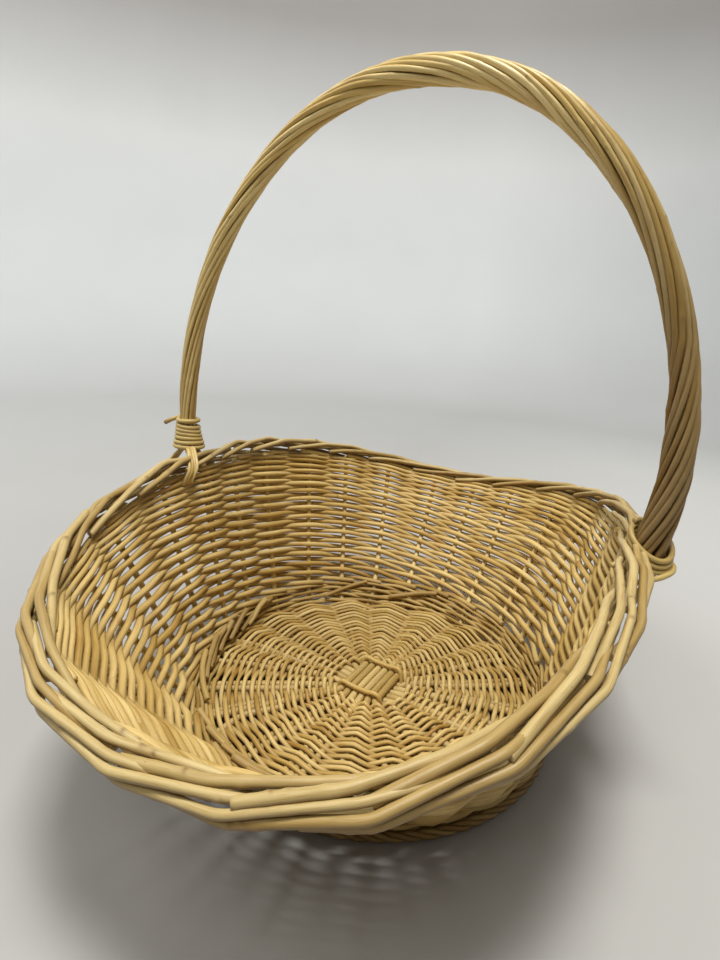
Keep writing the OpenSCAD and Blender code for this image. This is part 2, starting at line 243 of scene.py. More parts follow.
class Rods:
    """Gathers swept rods into one mesh with grain, tone and cut-end attributes."""

    def __init__(self):
        self.co, self.faces, self.grain, self.tone, self.cut, self.dark = [], [], [], [], [], []
        self.count = 0

    def add(self, path, radius, sides=8, tone=None, dark=0.0, knots=0, ends=("cut", "cut"), wear=0.02,
            flank=0.0):
        """Sweeps a rod along path. dark darkens it all round, mostly as painted shade, and flank paints
        shade on its underside.
        """
        path = np.asarray(path, float)
        n = len(path)
        radius = np.broadcast_to(np.asarray(radius, float), n).copy()
        length = length_along(path)
        seed = int(rng.integers(1, 1 << 30))
        local = np.random.default_rng(seed)
        tone = local.uniform(0, 1) if tone is None else tone
        long_swing, short_swing = slow_noise(length, seed, 37.0), slow_noise(length, seed + 1, 11.0)
        radius *= 1 + wear * long_swing + 0.6 * wear * short_swing
        tangent, side, other = frames_along(path)
        angle = 2 * np.pi * np.arange(sides) / sides
        ring = side[:, None] * np.cos(angle)[None, :, None] + other[:, None] * np.sin(angle)[None, :, None]
        swell = np.ones((n, sides))
        mark = np.zeros((n, sides))
        for _ in range(knots):
            at, way = local.uniform(0.08, 0.95) * length[-1], local.uniform(0, 2 * np.pi)
            turn = np.cos(angle - way)[None]
            near = np.exp(-(((length - at) / 1.9) ** 2))[:, None]
            swell += near * (0.055 + 0.13 * np.clip(turn, 0, 1) ** 3)
            spot = np.exp(-(((length - at - 0.8) / 1.1) ** 2))[:, None]
            mark = np.maximum(mark, spot * np.clip(turn, 0, 1) ** 6)
        co = path[:, None] + (radius[:, None] * swell)[..., None] * ring
        shift = local.uniform(-400, 400, 3)
        grain = np.empty((n, sides, 3))
        grain[..., 0] = radius[:, None] * np.cos(angle) + shift[0]
        grain[..., 1] = radius[:, None] * np.sin(angle) + shift[1]
        grain[..., 2] = length[:, None] + shift[2]
        dark = np.broadcast_to(np.asarray(dark, float), n)
        # Painted shade: flank darkens the side of the rod that faces down, and knots' bud scars are
        # darkened too.
        below = np.clip(0.6 - ring[..., 2], 0, 1)
        shade = np.maximum(dark[:, None] + np.broadcast_to(flank, n)[:, None] * below, 0.75 * mark)
        index = self.count + np.arange(n * sides).reshape(n, sides)
        quads = np.stack(
            [index[:-1], np.roll(index[:-1], -1, 1), np.roll(index[1:], -1, 1), index[1:]], -1
        ).reshape(-1, 4)
        self.faces += quads.tolist()
        blocks = [(co.reshape(-1, 3), grain.reshape(-1, 3), np.zeros(n * sides), shade.ravel())]
        self.count += n * sides
        for kind, end, way in ((ends[0], 0, -1.0), (ends[1], n - 1, 1.0)):
            is_cut = kind == "cut"
            axis = way * tangent[end]
            rim = 0.9 if is_cut else 0.55
            rise = (0.22 if is_cut else 0.9) * radius[end] / 2.4
            tilt = local.uniform(-0.35, 0.35) if is_cut else 0.0
            lean = axis[None] * (rise + tilt * radius[end] * np.cos(angle)[:, None] * 0.5)
            inner = path[end] + rim * radius[end] * ring[end] + lean
            middle = path[end] + axis * (rise if is_cut else 1.6 * rise)
            ring_index = self.count + np.arange(sides)
            centre = self.count + sides
            edge = index[end]
            nxt_edge, nxt_ring = np.roll(edge, -1), np.roll(ring_index, -1)
            if way > 0:
                self.faces += np.stack([edge, nxt_edge, nxt_ring, ring_index], -1).tolist()
                self.faces += np.stack([ring_index, nxt_ring, np.full(sides, centre)], -1).tolist()
            else:
                self.faces += np.stack([nxt_edge, edge, ring_index, nxt_ring], -1).tolist()
                self.faces += np.stack([nxt_ring, ring_index, np.full(sides, centre)], -1).tolist()
            g = grain[end].copy()
            g_mid = g.mean(0)
            blocks.append((
                np.vstack([inner, middle]),
                np.vstack([g_mid + rim * (g - g_mid), g_mid]),
                np.full(sides + 1, 1.0 if is_cut else 0.0),
                np.append(np.full(sides, dark[end]), max(dark[end], 0.35)),
            ))
            self.count += sides + 1
        for c, g, k, d in blocks:
            self.co.append(c)
            self.grain.append(g)
            self.cut.append(k)
            self.dark.append(d)
            self.tone.append(np.full(len(c), tone))

    def build(self, name, node, slot, material):
        """Makes the piece that replaces a CAD node."""
        mesh = bpy.data.meshes.new(name)
        mesh.from_pydata((np.vstack(self.co) * MM).tolist(), [], self.faces)
        for key, kind, data in (
            ("grain", "FLOAT_VECTOR", np.vstack(self.grain)),
            ("tone", "FLOAT", np.concatenate(self.tone)),
            ("cut", "FLOAT", np.concatenate(self.cut)),
            ("dark", "FLOAT", np.concatenate(self.dark)),
        ):
            layer = mesh.attributes.new(key, kind, "POINT")
            field = "vector" if kind == "FLOAT_VECTOR" else "value"
            layer.data.foreach_set(field, data.ravel().astype(np.float32))
        mesh.shade_smooth()
        mesh.materials.append(material)
        piece = bpy.data.objects.new(name, mesh)
        bpy.context.scene.collection.objects.link(piece)
        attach(piece, "root")
        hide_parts(node)


# ---------------------------------------------------------------- materials
CUT_PALE, CUT_DEEP = (0.62, 0.47, 0.25), (0.44, 0.30, 0.13)
FRECKLE = (0.20, 0.105, 0.035)
SHADOW = (0.12, 0.052, 0.010)


def set_stops(band, stops):
    """Gives a colour ramp its stops, each with a place and a colour."""
    while len(band.elements) < len(stops):
        band.elements.new(0.5)
    for element, (at, colour) in zip(band.elements, stops):
        element.position = at
        element.color = (*colour, 1)


def willow(name, tones, stain_and_shade, stain_amount, roughness, grain_depth):
    """Peeled willow: streaks along the rod, blotches, bud scars, pale cut ends and painted shade."""
    material = bpy.data.materials.new(name)
    material.use_nodes = True
    tree = material.node_tree
    tree.nodes.clear()

    def add(kind, **sockets):
        made = tree.nodes.new(kind)
        for key, value in sockets.items():
            if hasattr(made, key):
                setattr(made, key, value)
            elif isinstance(value, bpy.types.NodeSocket):
                tree.links.new(value, made.inputs[key.replace("_", " ")])
            else:
                made.inputs[key.replace("_", " ")].default_value = value
        return made

    def attribute(key):
        return add("ShaderNodeAttribute", attribute_name=key)

    def noise(scale, detail, rough=0.55):
        stretched = tree.nodes.new("ShaderNodeVectorMath")
        stretched.operation = "MULTIPLY"
        tree.links.new(grain.outputs["Vector"], stretched.inputs[0])
        stretched.inputs[1].default_value = scale
        made = add("ShaderNodeTexNoise", Vector=stretched.outputs[0], Detail=detail, Roughness=rough)
        made.inputs["Scale"].default_value = 1.0
        return made.outputs["Fac"]

    def ramp(value, stops):
        made = tree.nodes.new("ShaderNodeValToRGB")
        tree.links.new(value, made.inputs[0])
        set_stops(made.color_ramp, stops)
        return made.outputs["Color"]

    def mix(fac, a, b, how="MIX"):
        made = tree.nodes.new("ShaderNodeMix")
        made.data_type = "RGBA"
        made.blend_type = how
        for socket, value in ((0, fac), (6, a), (7, b)):
            if isinstance(value, bpy.types.NodeSocket):
                tree.links.new(value, made.inputs[socket])
            else:
                made.inputs[socket].default_value = value if socket == 0 else (*value, 1)
        return made.outputs[2]

    def maths(how, a, b=None, c=None, clamp=False):
        made = tree.nodes.new("ShaderNodeMath")
        made.operation = how
        made.use_clamp = clamp
        for socket, value in enumerate((a, b, c)):
            if isinstance(value, bpy.types.NodeSocket):
                tree.links.new(value, made.inputs[socket])
            elif value is not None:
                made.inputs[socket].default_value = value
        return made.outputs[0]

    grain = attribute("grain")
    tone, cut, dark = (attribute(k).outputs["Fac"] for k in ("tone", "cut", "dark"))
    coarse = noise((0.5, 0.5, 0.03), 4)
    fine = noise((2.4, 2.4, 0.09), 5, 0.65)
    cloud = noise((0.09, 0.09, 0.022), 3)
    speck = noise((0.9, 0.9, 0.35), 2)

    mixed_tone = maths("MULTIPLY_ADD", cloud, 0.5, maths("MULTIPLY_ADD", tone, 0.8, -0.15), clamp=True)
    body = ramp(mixed_tone, tones)
    streak = ramp(coarse, [(0.3, (0.80, 0.74, 0.64)), (0.52, (1, 1, 1)), (0.75, (1.0, 0.97, 0.9))])
    body = mix(1.0, body, streak, "MULTIPLY")
    lines = ramp(fine, [(0.34, (0.80, 0.73, 0.62)), (0.5, (1, 1, 1))])
    body = mix(0.75, body, lines, "MULTIPLY")
    blotch = ramp(cloud, [(0.60, (0, 0, 0)), (0.72, (1, 1, 1))])
    body = mix(maths("MULTIPLY", blotch, stain_amount), body, stain_and_shade)
    freckle = ramp(speck, [(0.73, (0, 0, 0)), (0.79, (1, 1, 1))])
    body = mix(maths("MULTIPLY", freckle, 0.55), body, FRECKLE)
    face = mix(ramp(fine, [(0.4, (0, 0, 0)), (0.6, (1, 1, 1))]), CUT_PALE, CUT_DEEP)
    body = mix(maths("MULTIPLY", cut, 0.85), body, face)
    # Painted shade: the dark attribute darkens the colour towards SHADOW; it also darkens bud scars and the
    # middles of cut ends.
    body = mix(dark, body, SHADOW)

    height = maths("MULTIPLY_ADD", fine, 0.55, maths("MULTIPLY", coarse, 0.45))
    bump = add("ShaderNodeBump", Height=height, Strength=0.5, Distance=grain_depth)
    rough = maths("MULTIPLY_ADD", fine, 0.22, roughness - 0.11)
    shader = add("ShaderNodeBsdfPrincipled", Base_Color=body, Roughness=rough, Normal=bump.outputs[0])
    shader.inputs["IOR"].default_value = 1.46
    shader.inputs["Specular IOR Level"].default_value = 0.42
    out = tree.nodes.new("ShaderNodeOutputMaterial")
    tree.links.new(shader.outputs[0], out.inputs[0])
    return material


WEAVER = willow(
    "buff_weaver",
    [(0.0, (0.71, 0.54, 0.22)), (0.35, (0.64, 0.465, 0.17)),
     (0.7, (0.52, 0.35, 0.10)), (1.0, (0.36, 0.215, 0.045))],
    (0.36, 0.17, 0.032), 0.6, 0.5, 0.00025)
STICK = willow(
    "buff_stick",
    [(0.0, (0.62, 0.47, 0.20)), (0.5, (0.53, 0.385, 0.14)), (1.0, (0.37, 0.24, 0.065))],
    (0.30, 0.16, 0.04), 0.45, 0.55, 0.0003)
STAKE = willow(
    "pale_stake",
    [(0.0, (0.72, 0.575, 0.27)), (0.5, (0.64, 0.485, 0.20)), (1.0, (0.48, 0.335, 0.11))],
    (0.30, 0.16, 0.04), 0.4, 0.55, 0.0003)
# Darker weaver colours, as painted shade on the foot and the upsett.
SHADED = willow(
    "shaded_weaver",
    [(0.0, (0.58, 0.425, 0.165)), (0.5, (0.48, 0.335, 0.11)), (1.0, (0.34, 0.205, 0.05))],
    (0.28, 0.13, 0.025), 0.6, 0.55, 0.0003)
BORDER = willow(
    "border_rod",
    [(0.0, (0.60, 0.47, 0.22)), (0.4, (0.51, 0.385, 0.16)),
     (0.75, (0.41, 0.285, 0.10)), (1.0, (0.30, 0.19, 0.05))],
    (0.38, 0.22, 0.06), 0.45, 0.42, 0.0003)
HANDLE = willow(
    "handle_rod",
    [(0.0, (0.80, 0.65, 0.32)), (0.4, (0.72, 0.56, 0.24)),
     (0.75, (0.59, 0.42, 0.14)), (1.0, (0.42, 0.27, 0.07))],
    (0.34, 0.18, 0.045), 0.5, 0.34, 0.0003)
LASHING = willow(
    "lashing_strand",
    [(0.0, (0.60, 0.46, 0.19)), (0.5, (0.52, 0.385, 0.14)), (1.0, (0.42, 0.29, 0.085))],
    (0.34, 0.20, 0.05), 0.4, 0.42, 0.0002)


# ---------------------------------------------------------------- base
def circle_point(r, a, z):
    a = np.radians(a)
    return np.stack([r * np.cos(a), r * np.sin(a), z + 0 * a], -1)


def base_sticks(layer):
    """Six sticks of the cross, whose ends open into ribs: layer is -1 for the lower and 1 for the upper."""
    rods = Rods()
    along = np.radians(BASE_TURN + (90 if layer > 0 else 0))
    d = np.array([np.cos(along), np.sin(along), 0])
    s = np.array([-np.sin(along), np.cos(along), 0])
    for j in range(len(STICK_RIBS)):
        half = []
        for end in (-1, 1):
            arm = (1 if layer > 0 else 0) + (0 if end > 0 else 2)
            rib = RIBS_PER_ARM * arm + end * STICK_RIBS[j]
            a = float(rib_at(rib))
            aside = STICK_SIDES[j] * STICK_PITCH / 2 * s
            z = BASE_Z + layer * STICK_R
            reach = BASE_R + rng.uniform(-3.5, 1.0)
            half.append([
                end * 15 * d + (j - 2.5) * STICK_PITCH * s + [0, 0, z],
                end * 19.5 * d + (j - 2.5) * STICK_PITCH_OPEN * s + [0, 0, BASE_Z + layer * 2.0],
                circle_point(31, a, BASE_Z + layer * 0.7) + aside,
                circle_point(55, a + rng.normal(0, 0.5), BASE_Z) + aside,
                circle_point(85, a + rng.normal(0, 0.4), BASE_Z) + 1.05 * aside,
                circle_point(reach, a + rng.normal(0, 0.4), BASE_Z) + 1.15 * aside,
            ])
        path = smooth_path(half[0][::-1] + half[1], 3.0)
        grow = np.linspace(1.06, 0.88, len(path)) if j % 2 else np.linspace(0.88, 1.06, len(path))
        rods.add(path, STICK_R * grow, 10, knots=3, wear=0.025)
    return rods


base_sticks(-1).build("base_sticks_lower", "base_sticks_lower", "stick_willow", STICK)
base_sticks(1).build("base_sticks_upper", "base_sticks_upper", "stick_willow", STICK)


def base_tie():
    """The first weaver, once round the cross: under the lower sticks and over the upper ones."""
    rods = Rods()
    high, low, reach, half = BASE_Z + 7.0, BASE_Z - 6.7, 17.8, 17.4
    corners = []
    for q in range(4):
        a = math.radians(90 * q + BASE_TURN)
        for s in (-0.85, -0.3, 0.3, 0.85):
            x, y = reach + 0.8 * (1 - abs(s)), s * half
            corners.append([
                x * math.cos(a) - y * math.sin(a),
                x * math.sin(a) + y * math.cos(a),
                low if q % 2 == 0 else high,
            ])
    corners.append(np.array(corners[0]) + [0, 0, -0.6])
    rods.add(smooth_path(corners, 1.2), TIE_R, 10, tone=0.55, wear=0.03)
    return rods


base_tie().build("base_tie", "base_tie", "weaver_willow", WEAVER)


def peaked(phase, sharpness):
    """A wave with nearly straight slopes and tight bends."""
    return np.arcsin(sharpness * np.cos(phase)) / math.asin(sharpness)


# How far a twined strand swings up and down between the ribs, and sideways.
PAIR_RISE, PAIR_SIDEWAYS = 4.2, 1.3


def base_rounds(first, last):
    """Twined pairs: each strand goes over one rib and under the next."""
    rods = Rods()
    for i in range(first, last + 1):
        r = ROUND_FIRST + i * ROUND_STEP
        per_rib = 10 if r > 50 else 8
        c = np.arange(RIBS * per_rib + 1) / per_rib
        drift = 0.6 * slow_noise(c, int(rng.integers(1 << 30)), 7.0)
        lift = 0.35 * slow_noise(c, int(rng.integers(1 << 30)), 3.3)
        offset = rng.integers(0, RIBS)
        for strand in (0, 1):
            phase = np.pi * (c + strand + i)
            rise = peaked(phase, 0.985)
            z = BASE_Z + lift + PAIR_RISE * rise
            p = circle_point(r + drift + PAIR_SIDEWAYS * np.sin(phase), rib_at(c + offset), z)
            thick = PAIR_R * (1 + 0.14 * slow_noise(c, int(rng.integers(1 << 30)), 17.0))
            # Painted shade: darker where the strand dips under a rib, and on its underside.
            rods.add(p, thick, 8, wear=0.03, dark=0.06 + 0.5 * np.clip(0.45 - rise, 0, 1), flank=0.6)
    return rods


for part, first, last in (("inner", 0, 3), ("middle", 4, 10), ("outer", 11, ROUNDS - 1)):
    name = "base_pairing_" + part
    base_rounds(first, last).build(name, name, "weaver_willow", WEAVER)


# Radius and way of laying of the two ropes that the basket stands on, and the size of their twist.
FOOT_ROPES = ((121.0, 1), (125.4, -1))
ROPE_MIDDLE_Z, TWIST_R, TWIST_Z = 3.6, 1.45, 1.7


def foot():
    """Two three-strand ropes of thin rods."""
    rods = Rods()
    for r, way in FOOT_ROPES:
        c = np.linspace(0, 1, 361)
        for strand in range(3):
            a = 2 * np.pi * (way * c * STAKES + strand / 3)
            z = ROPE_MIDDLE_Z + TWIST_Z * np.sin(a)
            p = circle_point(r + TWIST_R * np.cos(a), 360 * c + 7 * way, z)
            # Painted shade: the foot ropes are darkened all round and on their undersides.
            rods.add(p, FOOT_ROD_R, 7, dark=0.4, flank=0.4)
    return rods


foot().build("foot_wale", "foot_rim", "shaded_willow", SHADED)


# ---------------------------------------------------------------- wall
# Distance from a rib to the stake beside it; two sticks make up each double rib.
RIB_GAP, DOUBLE_RIB_GAP = 4.9, 7.6


def beside_rib(u, r):
    """Angle at radius r of a stake pushed in beside the base rib nearest to u."""
    n = round((u - BASE_TURN) / RIB_STEP)
    rib = float(rib_at(n))
    gap = DOUBLE_RIB_GAP if n % RIBS_PER_ARM == 0 else RIB_GAP
    return rib + (1 if u >= rib else -1) * math.degrees(gap / r)


def stake(k):
    """A stake's path: beside a rib, round the base's edge and up the middle of the wall."""
    u0 = float(around(k, 0.0))
    v = np.linspace(0.06, 0.99, 12)
    first, last = rng.uniform(50, 82), 96
    points = [circle_point(r, beside_rib(u0, r), BASE_Z + 0.2) for r in (first, (first + last) / 2, last)]
    r = BASE_R - 8
    points.append(circle_point(r, (beside_rib(u0, r) + u0) / 2, BASE_Z))
    r = BASE_R + 1
    points.append(circle_point(r, (beside_rib(u0, r) + 3 * u0) / 4, BASE_Z + 0.4))
    return smooth_path(points + list(wall_mid(around(k, v), v)), 3.5)


for quarter, ks in QUARTERS.items():
    rods = Rods()
    for k in ks:
        path = stake(k)
        radius = np.linspace(*STAKE_RS, len(path))
        shade = np.where(np.hypot(path[:, 0], path[:, 1]) < BASE_R, 0.4, 0.0)
        rods.add(path, radius, 8, tone=rng.uniform(0, 0.4), dark=shade, knots=3, wear=0.03)
    rods.build("stakes_" + quarter, "stakes_" + quarter, "stick_willow", STAKE)


WALE_ROUNDS = (-0.012, 0.022, 0.056, 0.09)
LOOSE_BUTTS = 16


def upsett():
    """Four rounds of three-rod wale that bend the stakes up, with loose butts left in the corner."""
    rods = Rods()
    c = np.arange(0, STAKES + 0.01, 0.1)
    for lap, v in enumerate(WALE_ROUNDS):
        for strand in range(3):
            phase = 2 * np.pi * (c - strand - lap) / 3
            u = around(c, v)
            seed = int(rng.integers(1 << 30))
            twist = 1.25 / WALL_HEIGHT * np.sin(phase)
            height = v + twist + 0.8 * warp(u, v) + 0.006 * slow_noise(c, seed, 2.7)
            off = -3.7 * np.cos(phase) - 0.3 + 0.5 * slow_noise(c, seed + 1, 3.4)
            rods.add(wall_at(u, height, off), WALE_R + 0.16 * slow_noise(c, seed + 2, 13), 7, dark=0.12)
    for _ in range(LOOSE_BUTTS):
        u = rng.uniform(75, 262)
        turn = rng.uniform(11, 20)
        inner = -5.8 - rng.uniform(0, 1.5)
        points = [
            wall_at(u + turn * k / 3, 0.105 - 0.03 * k + rng.normal(0, 0.006), inner) for k in range(4)
        ]
        rods.add(smooth_path(points, 3.0), rng.uniform(1.5, 2.5), 8, dark=rng.choice((0.05, 0.1, 0.35)))
    return rods


upsett().build("upsett_wale", "upsett_wale", "shaded_willow", SHADED)

# A randing rod's rise at each stake, and the wall heights where it starts, thins and ends.
RISE, RAND_START, RAND_THINS, RAND_END = 0.0335, 0.115, 0.62, 1.0
BAND_TOPS = (0.405, 0.675)


def thinning(v):
    """How far a randing rod at height v has thinned: 0 below RAND_THINS, 1 at the wall's top."""
    return np.clip((v - RAND_THINS) / (1 - RAND_THINS), 0, 1)


def climb():
    """Height v of a randing rod against the stakes that it has passed: rows lie closer towards the top."""
    n, v = [0.0], [RAND_START]
    while v[-1] < RAND_END + 0.03:
        n.append(n[-1] + 0.1)
        closing = max(0.0, (v[-1] - RAND_THINS) / (1 - RAND_THINS)) ** 1.3
        v.append(v[-1] + 0.1 * RISE * (1 - 0.2 * v[-1] - 0.42 * closing))
    return np.array(n), np.array(v)


def randing():
    """French randing: one rod per stake, each climbing to the right past every stake."""
    bands = [Rods(), Rods(), Rods()]
    stakes_passed, heights = climb()
    span = float(np.interp(RAND_END, heights, stakes_passed))
    for k in range(STAKES):
        lead = rng.uniform(0.1, 0.4)
        n = np.arange(-lead, span + rng.uniform(-0.6, 0.1), 0.1)
        v = np.interp(n, stakes_passed, heights) + RISE * 0.8 * np.minimum(n, 0)
        thick = (RANDING_R - RANDING_THINS_BY * thinning(v)) * (1 + rng.normal(0, 0.06))
        thick = thick * (1 + 0.06 * slow_noise(n, int(rng.integers(1 << 30)), 9))
        u = around(k + n, v)
        over = -peaked(np.pi * n, 0.93)
        reach = 1.75 + 0.8 * thick
        off = np.where(n < 0, -reach - 2.6 * np.minimum(-n, 0.4), reach * over)
        height = v + warp(u, v) + 0.002 * slow_noise(n, int(rng.integers(1 << 30)), 3.1)
        path = wall_at(u, height, off)
        tone = np.clip(rng.normal(0.33, 0.3), 0, 1)
        crossing = 1 - np.abs(over)
        # Painted shade: darker midway between stakes, where the rod passes through the wall, and on its
        # runs outside the wall; flank darkens the undersides of the lower rows. It is also darker at its
        # butt.
        shade = 0.1 * np.clip(over, 0, 1) + 0.24 * crossing**2 + 0.3 * np.exp(-((n + 0.2) ** 2) / 0.15)
        thick = thick * (1.02 - 0.08 * crossing)
        flank = 0.5 * np.clip(1 - v / 0.6, 0, 1)
        cuts = [0] + [int(np.searchsorted(v, top)) for top in BAND_TOPS] + [len(n) - 1]
        for band in range(3):
            part = slice(cuts[band], cuts[band + 1] + 1)
            ends = ("cut", "cut") if band < 2 else ("cut", "tip")
            # The painted shade above, passed on to each band.
            stain_and_shade = {"dark": shade[part], "flank": flank[part]}
            bands[band].add(path[part], thick[part], 8, tone=tone, ends=ends, wear=0.0, **stain_and_shade)
    return bands


for rods, level in zip(randing(), ("lower", "middle", "upper")):
    rods.build("randing_" + level, "randing_" + level, "weaver_willow", WEAVER)


# ---------------------------------------------------------------- border
def pressed(u):
    """How much the handle's feet press the roll down: 1 at a foot, 0 away from it."""
    return np.exp(-((RIM_Y * np.sin(np.radians(u)) / 30) ** 2))


def rolled(u, turn, r):
    """A point of the roll: pressed at the handle's feet, lower and tighter at the basket's ends."""
    press = pressed(u)
    end = np.sin(np.radians(u)) ** 2
    front = np.clip(-np.sin(np.radians(u)), 0, 1) ** 1.5
    along = unit(rim_point(u + 1) - rim_point(u - 1))
    outward = unit(np.cross(along, [0.0, 0.0, 1.0]))
    drop = 2.0 * press + 5.5 * end + 1.5 * front
    return (
        roll_at(u, turn, r * (1 - 0.22 * press - 0.2 * end - 0.06 * front))
        + (3.6 * front)[..., None] * outward - np.stack([0 * drop, 0 * drop, drop], -1)
    )


# Both kinds of border rod start at a stake; s counts stakes along the rim.
def border_under(k):
    """A rod that comes up round the outside, goes over the roll and tucks in."""
    s = np.array([-1.45, -0.95, 0.0, 0.95, 1.35, 1.9])
    turn = np.array([-62.0, -30.0, 4.0, 46.0, 62.0, 86.0]) + rng.normal(0, 3.0, 6)
    r = np.array([6.2, 9.4, 10.2, 9.2, 5.6, 4.0]) + rng.normal(0, 0.3, 6)
    u = around(k + s, 1.0)
    return bent_path(rolled(u, turn, r), 1.5, 4.5)


def border_over(k):
    """A rod with its cut butt outside, laid over the roll to the inside."""
    s = np.array([rng.uniform(-0.1, 0.15), 0.85, 1.6, 2.1, 2.5])
    turn = 46 + 48.6 * (s - 0.1) + rng.normal(0, 3.0, 5)
    r = np.array([rng.choice((4.4, 5.2, 6.0, 8.2)), 9.9, 9.8, 8.6, 5.0]) + rng.normal(0, 0.3, 5)
    u = around(k + s, 1.0)
    return bent_path(rolled(u, turn, r), 1.5, 6.0)


for quarter, ks in QUARTERS.items():
    under, over = Rods(), Rods()
    for k in ks:
        for rods, route, radii, knots in (
            (under, border_under, UNDER_RS, 3),
            (over, border_over, OVER_RS, 4),
        ):
            path = route(k)
            radius = np.linspace(*radii, len(path)) * rng.uniform(0.88, 1.08)
            # flank paints shade on the undersides of the border rods.
            rods.add(path, radius, 12, knots=knots, wear=0.025, flank=0.75)
    under.build("border_under_" + quarter, "border_under_" + quarter, "border_willow", BORDER)
    over.build("border_over_" + quarter, "border_over_" + quarter, "border_willow", BORDER)


# ---------------------------------------------------------------- handle
# Thickness of the handle along its arch, from its right foot to its left foot.
THICKNESS_AT = (0, 9, 22, 46, 84, 124, 150, 180)
THICKNESS = (19.2, 18.0, 15.0, 14.6, 15.8, 14.0, 13.2, 13.2)


def handle_frame(t):
    """Centre, normal in the arch's plane and half the thickness of the handle."""
    centre = arch(t)
    direction = unit(arch(np.clip(t + 0.4, 0, 180)) - arch(np.clip(t - 0.4, 0, 180)))
    return centre, np.cross([0.0, 1.0, 0.0], direction), np.interp(t, THICKNESS_AT, THICKNESS) / 2


def rope_turns(t):
    """Turns of the roping up to t: tight at the right foot, long in the right leg."""
    return np.interp(t, [0, 27, 62, 104, 180], [0, 0.66, 0.98, 1.66, 2.6])


# Where the roping rods go below the left foot: some into the basket, the rest down outside the border.
LEFT_INSIDE = np.array([
    [-162.5, -2, 163], [-157.5, -7, 165], [-151.5, -12, 164.5],
    [-145.8, -17.5, 160], [-142.6, -21.5, 153.5], [-145.0, -25.5, 144],
])
LEFT_INSIDE_FAN = np.array([1.2, 1.5, 1.75, 1.9, 2.0, 2.3])
LEFT_INSIDE_BEHIND = np.array([
    [0, 0, -2], [-0.5, 0, -2.1], [-1, 0, -1.8], [-1.8, 0.5, -1], [-2, 0, 0], [-2, 0, 0],
])
LEFT_OUTSIDE = np.array([[-168.5, -1, 163], [-173.5, -2, 157], [-176.5, -5, 149.5], [-169.0, -8, 140]])
LEFT_OUTSIDE_FAN = np.array([1.4, 2.2, 2.5, 2.6])
RIGHT_TAIL = np.array([[-1.5, -0.5, -12.0], [-0.6, -0.2, -5.0]])


def roping(i):
    """The path of a roping rod: its right tail, its turns round the bow and its left end."""
    t = np.linspace(0.8, 179.2, 230)
    centre, normal, half = handle_frame(t)
    seed = int(rng.integers(1 << 30))
    a = 2 * np.pi * (rope_turns(t) + i / ROPE_RODS) + 0.09 * slow_noise(t, seed, 52.0)
    above = np.clip((centre[:, 2] - ARCH_FOOT - 34) / 26, 0, 1)
    pinch = np.where(t > 90, 0.88 + 0.12 * above, 1.0)
    r = 0.8 * half * pinch * (1 + 0.06 * slow_noise(t, seed + 5, 38.0))
    body = centre + r[:, None] * (np.cos(a)[:, None] * normal + np.sin(a)[:, None] * np.array([0, 1.0, 0]))
    if i in INNER_RODS:
        place = INNER_RODS.index(i)
        row, behind = (place - 1.5, 0.0) if place < 4 else (place - 5.0, 1.0)
        spread = LEFT_INSIDE_FAN[:, None] * row * np.array([0.45, 0.84, 0.25])
        spread += rng.normal(0, 0.25, spread.shape)
        left_end = LEFT_INSIDE + spread + behind * LEFT_INSIDE_BEHIND
    else:
        row = OUTER_RODS.index(i) - 2
        left_end = LEFT_OUTSIDE + LEFT_OUTSIDE_FAN[:, None] * row * np.array([0.0, 1.0, 0.15])
    keep = (body[:, 2] > ARCH_FOOT + 20) | (t < 90)
    return smooth_path(np.vstack([body[0] + RIGHT_TAIL, body[keep], left_end]), 2.4)


def left_order():
    """Rods nearest the inside at the left foot, then the rest, each group in order across the foot."""
    def place(i):
        return 2 * math.pi * (float(rope_turns(176)) + i / ROPE_RODS)

    ranked = sorted(range(ROPE_RODS), key=lambda i: math.cos(place(i)))
    inner = sorted(ranked[:7], key=lambda i: math.sin(place(i)))
    outer = sorted(ranked[7:], key=lambda i: math.sin(place(i)))
    return inner[::2] + inner[1::2], outer


# Radius and painted shade of a roping rod along its length, from its right end to its left end: darkest low
# on the right leg.
ROPE_R_AT = (0, 0.13, 0.3, 0.47, 0.68, 0.93, 0.97, 1)
ROPE_R = (1.85, 1.65, 1.62, 1.74, 1.5, 1.32, 1.2, 1.15)
ROPE_SHADE_AT, ROPE_SHADE = (0, 0.14, 0.24, 0.36, 0.8, 1), (0.78, 0.7, 0.45, 0.04, 0.0, 0.2)
INNER_RODS, OUTER_RODS = left_order()
for i in range(ROPE_RODS):
    path = roping(i)
    along = np.linspace(0, 1, len(path))
    radius = np.interp(along, ROPE_R_AT, ROPE_R) * rng.uniform(0.86, 1.08)
    rods = Rods()
    rods.add(path, radius, 12, dark=np.interp(along, ROPE_SHADE_AT, ROPE_SHADE), knots=9, wear=0.04)
    rods.build("roping_%d" % (i + 1), "roping_%d" % (i + 1), "handle_willow", HANDLE)


def handle_bow():
    """The rod inside the roping, whose thin ends go down into the wall."""
    rods = Rods()
    depths = np.array([0.62, 0.8, 0.95])
    centre = arch(np.linspace(3.0, 176.0, 130))
    path = smooth_path(np.vstack([wall_mid(0.0, depths), centre, wall_mid(180.0, depths[::-1])]), 3.0)
    middle = np.clip(np.sin(np.linspace(0, np.pi, len(path))) * 5, 0, 1)
    rods.add(path, 1.6 + 3.0 * middle * np.linspace(1.0, 0.75, len(path)), 12, tone=0.6, dark=0.3)
    return rods


handle_bow().build("handle_bow", "handle_bow", "stick_willow", STICK)


